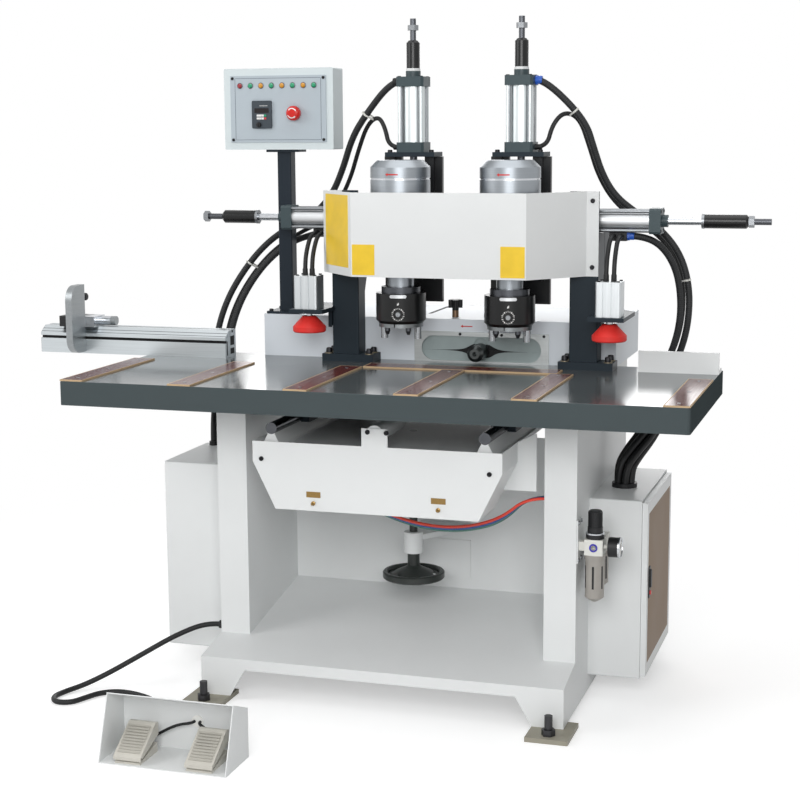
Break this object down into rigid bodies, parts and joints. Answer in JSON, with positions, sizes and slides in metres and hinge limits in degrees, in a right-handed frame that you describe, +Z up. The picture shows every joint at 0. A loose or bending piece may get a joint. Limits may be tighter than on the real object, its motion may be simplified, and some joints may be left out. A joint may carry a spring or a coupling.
{
  "type": "twin-head boring and slot-mortising machine",
  "caption": "Floor-standing woodworking machine: table under vertical boring heads on a gantry, air clamps, a horizontal mortising spindle, control box and foot switch.",
  "frame": {"origin": "on the floor, under the middle of the machine's whole box", "axes": "+X to the operator's right along the table, +Y from the operator to the back, +Z up"},
  "size_m": [2.048, 1.418, 1.758],
  "materials": {
    "machine_white": "satin",
    "frame_grey": "satin",
    "table_grey": "satin",
    "carriage_black": "satin",
    "casing_black": "semi-gloss",
    "bare_steel": "brushed",
    "cast_aluminium": "satin",
    "cylinder_aluminium": "satin",
    "bright_chrome": "polished",
    "strip_brown": "satin",
    "pad_red": "matt",
    "curtain_rubber": "matt",
    "knob_black": "matt",
    "stop_red": "gloss",
    "panel_grey": "satin",
    "lamp_lens": "gloss",
    "service_grey": "satin",
    "pedal_beige": "satin",
    "hose_black": "matt",
    "wheel_black": "satin"
  },
  "bodies": {
    "root": {"base_plinth": "machine_white", "side_uprights": "machine_white", "back_wall": "machine_white", "levelling_feet": "bare_steel", "side_cabinets": "machine_white", "table_top": "table_grey", "table_strips": "strip_brown", "gantry_frame": "frame_grey", "front_cover": "machine_white", "shift_cylinders": "cylinder_aluminium", "clamp_cylinders": "cylinder_aluminium", "control_post": "frame_grey", "control_box": "machine_white", "control_panel": "panel_grey", "indicator_lamps": "lamp_lens", "rear_housing": "machine_white", "window_plate": "bare_steel", "rubber_curtain": "curtain_rubber", "table_fences": "cylinder_aluminium", "air_service_unit": "service_grey", "pedal_hood": "machine_white", "hoses_and_cables": "hose_black", "left_head_hose": "hose_black", "right_head_hose": "hose_black"},
    "left_carriage": {"left_carriage": "carriage_black", "left_feed_cylinder": "cylinder_aluminium", "left_shift_rod": "bright_chrome"},
    "left_head": {"left_head_slide": "carriage_black", "left_motor": "cast_aluminium", "left_gear_casing": "casing_black", "left_feed_rod": "bright_chrome"},
    "left_drive": {"left_drive_gear": "bare_steel"},
    "left_spindle_a": {"left_spindle_a": "bright_chrome"},
    "left_spindle_b": {"left_spindle_b": "bright_chrome"},
    "left_clamp": {"left_clamp_pad": "pad_red"},
    "left_pedal": {"left_pedal": "pedal_beige"},
    "right_carriage": {"right_carriage": "carriage_black", "right_feed_cylinder": "cylinder_aluminium", "right_shift_rod": "bright_chrome"},
    "right_head": {"right_head_slide": "carriage_black", "right_motor": "cast_aluminium", "right_gear_casing": "casing_black", "right_feed_rod": "bright_chrome"},
    "right_drive": {"right_drive_gear": "bare_steel"},
    "right_spindle_a": {"right_spindle_a": "bright_chrome"},
    "right_spindle_b": {"right_spindle_b": "bright_chrome"},
    "right_clamp": {"right_clamp_pad": "pad_red"},
    "right_pedal": {"right_pedal": "pedal_beige"},
    "knee": {"knee": "machine_white", "round_rails": "bare_steel"},
    "saddle": {"saddle": "frame_grey"},
    "spindle_unit": {"spindle_unit": "cast_aluminium"},
    "collet": {"collet_spindle": "bare_steel"},
    "handwheel": {"handwheel": "wheel_black"},
    "length_stop": {"length_stop": "cast_aluminium"},
    "stop_knob": {"stop_knob": "knob_black"},
    "star_knob": {"star_knob": "knob_black"},
    "regulator_knob": {"regulator_knob": "knob_black"},
    "emergency_stop": {"emergency_stop": "stop_red"},
    "cabinet_door": {"cabinet_door": "machine_white"}
  },
  "joints": [
    {"name": "left_shift", "type": "slide", "parent": "root", "child": "left_carriage", "axis": [1, 0, 0], "range_m": [0, 0.055], "deforming": ["left_head_hose"]},
    {"name": "left_feed", "type": "slide", "parent": "left_carriage", "child": "left_head", "axis": [0, 0, 1], "range_m": [0, 0.09]},
    {"name": "left_drive_spin", "type": "hinge", "parent": "left_head", "child": "left_drive", "pos_m": [0.0735, 0.167, 1], "axis": [0, 0, 1], "continuous": true},
    {"name": "left_spindle_a_spin", "type": "hinge", "parent": "left_head", "child": "left_spindle_a", "pos_m": [0.027, 0.167, 0.95], "axis": [0, 0, 1], "continuous": true},
    {"name": "left_spindle_b_spin", "type": "hinge", "parent": "left_head", "child": "left_spindle_b", "pos_m": [0.12, 0.167, 0.95], "axis": [0, 0, 1], "continuous": true},
    {"name": "left_clamp_press", "type": "slide", "parent": "root", "child": "left_clamp", "axis": [0, 0, -1], "range_m": [0, 0.06], "stiffness_N_per_m": 100, "springref_m": -0.1},
    {"name": "left_pedal_press", "type": "hinge", "parent": "root", "child": "left_pedal", "pos_m": [-0.335, -0.693, 0.016], "axis": [-1, 0, 0], "range_deg": [0, 8], "stiffness_Nm_per_rad": 2, "springref_deg": -17.19},
    {"name": "right_shift", "type": "slide", "parent": "root", "child": "right_carriage", "axis": [-1, 0, 0], "range_m": [0, 0.075], "deforming": ["right_head_hose"]},
    {"name": "right_feed", "type": "slide", "parent": "right_carriage", "child": "right_head", "axis": [0, 0, 1], "range_m": [0, 0.09]},
    {"name": "right_drive_spin", "type": "hinge", "parent": "right_head", "child": "right_drive", "pos_m": [0.3705, 0.167, 1], "axis": [0, 0, 1], "continuous": true},
    {"name": "right_spindle_a_spin", "type": "hinge", "parent": "right_head", "child": "right_spindle_a", "pos_m": [0.324, 0.167, 0.95], "axis": [0, 0, 1], "continuous": true},
    {"name": "right_spindle_b_spin", "type": "hinge", "parent": "right_head", "child": "right_spindle_b", "pos_m": [0.417, 0.167, 0.95], "axis": [0, 0, 1], "continuous": true},
    {"name": "right_clamp_press", "type": "slide", "parent": "root", "child": "right_clamp", "axis": [0, 0, -1], "range_m": [0, 0.06], "stiffness_N_per_m": 100, "springref_m": -0.1},
    {"name": "right_pedal_press", "type": "hinge", "parent": "root", "child": "right_pedal", "pos_m": [-0.153, -0.693, 0.016], "axis": [-1, 0, 0], "range_deg": [0, 8], "stiffness_Nm_per_rad": 2, "springref_deg": -17.19},
    {"name": "knee_lift", "type": "slide", "parent": "root", "child": "knee", "axis": [0, 0, 1], "range_m": [0, 0.015], "deforming": ["rubber_curtain"]},
    {"name": "handwheel_turn", "type": "hinge", "parent": "root", "child": "handwheel", "pos_m": [0.113, 0.141, 0.278], "axis": [0, 0, 1], "range_deg": [-1350.01, 0]},
    {"name": "spindle_feed", "type": "slide", "parent": "knee", "child": "saddle", "axis": [0, -1, 0], "range_m": [0, 0.09]},
    {"name": "spindle_swing", "type": "slide", "parent": "saddle", "child": "spindle_unit", "axis": [1, 0, 0], "range_m": [-0.06, 0.06], "deforming": ["rubber_curtain"]},
    {"name": "collet_spin", "type": "hinge", "parent": "spindle_unit", "child": "collet", "pos_m": [0.26, 0.226, 0.872], "axis": [0, -1, 0], "continuous": true},
    {"name": "stop_slide", "type": "slide", "parent": "root", "child": "length_stop", "axis": [1, 0, 0], "range_m": [-0.07, 0.33]},
    {"name": "stop_knob_turn", "type": "hinge", "parent": "length_stop", "child": "stop_knob", "pos_m": [-0.926, 0.246, 0.96], "axis": [0, 0, 1], "range_deg": [0, 360]},
    {"name": "star_knob_turn", "type": "hinge", "parent": "root", "child": "star_knob", "pos_m": [0.174, 0.346, 0.97], "axis": [0, 0, 1], "range_deg": [0, 360]},
    {"name": "regulator_turn", "type": "hinge", "parent": "root", "child": "regulator_knob", "pos_m": [0.644, -0.047, 0.48], "axis": [0, 0, 1], "range_deg": [-360, 360]},
    {"name": "emergency_stop_press", "type": "slide", "parent": "root", "child": "emergency_stop", "axis": [0, 1, 0], "range_m": [0, 0.006], "stiffness_N_per_m": 600, "springref_m": -0.004},
    {"name": "door_swing", "type": "hinge", "parent": "root", "child": "cabinet_door", "pos_m": [0.7445, 0.503, 0.29], "axis": [0, 0, 1], "range_deg": [0, 110]}
  ],
  "couplings": [
    {"joint": "left_spindle_a_spin", "follows": "left_drive_spin", "ratio": -2.4444},
    {"joint": "left_spindle_b_spin", "follows": "left_drive_spin", "ratio": -2.4444},
    {"joint": "right_spindle_a_spin", "follows": "right_drive_spin", "ratio": -2.4444},
    {"joint": "right_spindle_b_spin", "follows": "right_drive_spin", "ratio": -2.4444},
    {"joint": "handwheel_turn", "follows": "knee_lift", "rad_per_m": -1570.8}
  ]
}
